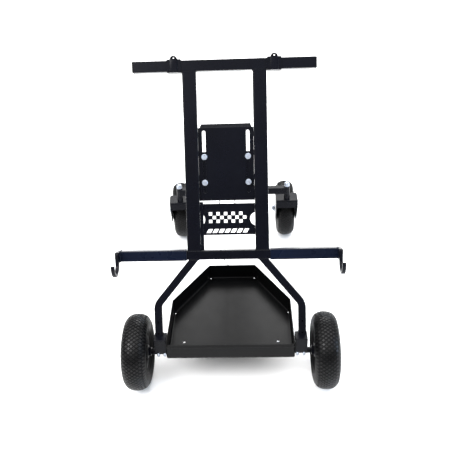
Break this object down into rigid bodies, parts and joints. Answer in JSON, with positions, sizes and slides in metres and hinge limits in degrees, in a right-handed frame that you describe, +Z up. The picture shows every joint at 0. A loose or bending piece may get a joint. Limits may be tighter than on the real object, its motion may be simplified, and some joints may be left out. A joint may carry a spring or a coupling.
{
  "type": "upright kart stand trolley",
  "caption": "Upright racing kart stand on pneumatic wheels and swivel casters, with leaning mast, telescopic axle hooks, sliding top sleeves and a drip tray.",
  "frame": {"origin": "on the floor, at the centre of the overall box", "axes": "+Z up, +Y from the drip tray at the front towards the casters at the back, +X to the right as seen from the front"},
  "size_m": [0.7466, 1.23, 1.037],
  "materials": {
    "frame_paint": "satin black powder coat",
    "arm_paint": "satin blue-black powder coat",
    "tray_paint": "satin black powder coat, soft sheen",
    "rim_steel": "satin dark paint",
    "zinc": "bright zinc plate",
    "tyre_rubber": "matt rubber",
    "cap_plastic": "matt",
    "wire": "dark drawn wire"
  },
  "bodies": {
    "mast_frame": {"leg_left": "frame_paint", "leg_right": "frame_paint", "cross_tube": "frame_paint", "rail_left": "frame_paint", "rail_right": "frame_paint", "rail_strip": "frame_paint", "top_bar": "frame_paint", "top_cap_left": "cap_plastic", "top_cap_right": "cap_plastic", "slotted_plate": "frame_paint", "cutout_panel": "frame_paint", "axle_rod": "frame_paint", "axle_block_left": "frame_paint", "axle_block_right": "frame_paint", "axle_ubolt_left_inner": "zinc", "axle_ubolt_left_outer": "zinc", "axle_ubolt_right_inner": "zinc", "axle_ubolt_right_outer": "zinc", "axle_nut_left": "zinc", "axle_nut_right": "zinc", "drip_tray": "tray_paint", "tray_wire": "wire"},
    "tail": {"tail_bracket": "frame_paint", "tail_tube_left": "frame_paint", "tail_tube_right": "frame_paint", "rear_beam": "frame_paint", "swivel_housing_left": "frame_paint", "swivel_housing_right": "frame_paint", "adjuster_bolt_left_lower": "zinc", "adjuster_bolt_left_upper": "zinc", "adjuster_bolt_right_lower": "zinc", "adjuster_bolt_right_upper": "zinc"},
    "arm_left": {"arm_left": "arm_paint", "axle_hook_left": "frame_paint", "arm_lock_screw_left": "zinc"},
    "top_sleeve_left": {"top_sleeve_left": "frame_paint"},
    "front_wheel_left": {"front_left_tyre": "tyre_rubber", "front_left_rim_inner": "rim_steel", "front_left_rim_outer": "rim_steel"},
    "fork_left": {"fork_left": "frame_paint", "kingpin_left": "zinc", "caster_axle_left": "zinc"},
    "caster_wheel_left": {"caster_left_tyre": "tyre_rubber", "caster_left_rim_inner": "rim_steel", "caster_left_rim_outer": "rim_steel"},
    "arm_right": {"arm_right": "arm_paint", "axle_hook_right": "frame_paint", "arm_lock_screw_right": "zinc"},
    "top_sleeve_right": {"top_sleeve_right": "frame_paint"},
    "front_wheel_right": {"front_right_tyre": "tyre_rubber", "front_right_rim_inner": "rim_steel", "front_right_rim_outer": "rim_steel"},
    "fork_right": {"fork_right": "frame_paint", "kingpin_right": "zinc", "caster_axle_right": "zinc"},
    "caster_wheel_right": {"caster_right_tyre": "tyre_rubber", "caster_right_rim_inner": "rim_steel", "caster_right_rim_outer": "rim_steel"}
  },
  "joints": [
    {"name": "tail_height_slide", "type": "slide", "parent": "mast_frame", "child": "tail", "axis": [0, 0.4226, 0.9063], "range_m": [0, 0.06]},
    {"name": "arm_left_slide", "type": "slide", "parent": "mast_frame", "child": "arm_left", "axis": [-1, 0, 0], "range_m": [0, 0.08]},
    {"name": "top_sleeve_left_slide", "type": "slide", "parent": "mast_frame", "child": "top_sleeve_left", "axis": [-1, 0, 0], "range_m": [0, 0.11]},
    {"name": "front_wheel_left_spin", "type": "hinge", "parent": "mast_frame", "child": "front_wheel_left", "pos_m": [-0.319, -0.485, 0.13], "axis": [1, 0, 0], "continuous": true},
    {"name": "caster_left_swivel", "type": "hinge", "parent": "tail", "child": "fork_left", "pos_m": [-0.24, 0.346, 0.29], "axis": [0, 0, 1], "continuous": true},
    {"name": "caster_wheel_left_spin", "type": "hinge", "parent": "fork_left", "child": "caster_wheel_left", "pos_m": [-0.25211, 0.48447, 0.13], "axis": [0.9962, 0.0872, 0], "continuous": true},
    {"name": "arm_right_slide", "type": "slide", "parent": "mast_frame", "child": "arm_right", "axis": [1, 0, 0], "range_m": [0, 0.08]},
    {"name": "top_sleeve_right_slide", "type": "slide", "parent": "mast_frame", "child": "top_sleeve_right", "axis": [1, 0, 0], "range_m": [0, 0.11]},
    {"name": "front_wheel_right_spin", "type": "hinge", "parent": "mast_frame", "child": "front_wheel_right", "pos_m": [0.319, -0.485, 0.13], "axis": [1, 0, 0], "continuous": true},
    {"name": "caster_right_swivel", "type": "hinge", "parent": "tail", "child": "fork_right", "pos_m": [0.24, 0.346, 0.29], "axis": [0, 0, 1], "continuous": true},
    {"name": "caster_wheel_right_spin", "type": "hinge", "parent": "fork_right", "child": "caster_wheel_right", "pos_m": [0.24, 0.485, 0.13], "axis": [1, 0, 0], "continuous": true}
  ]
}
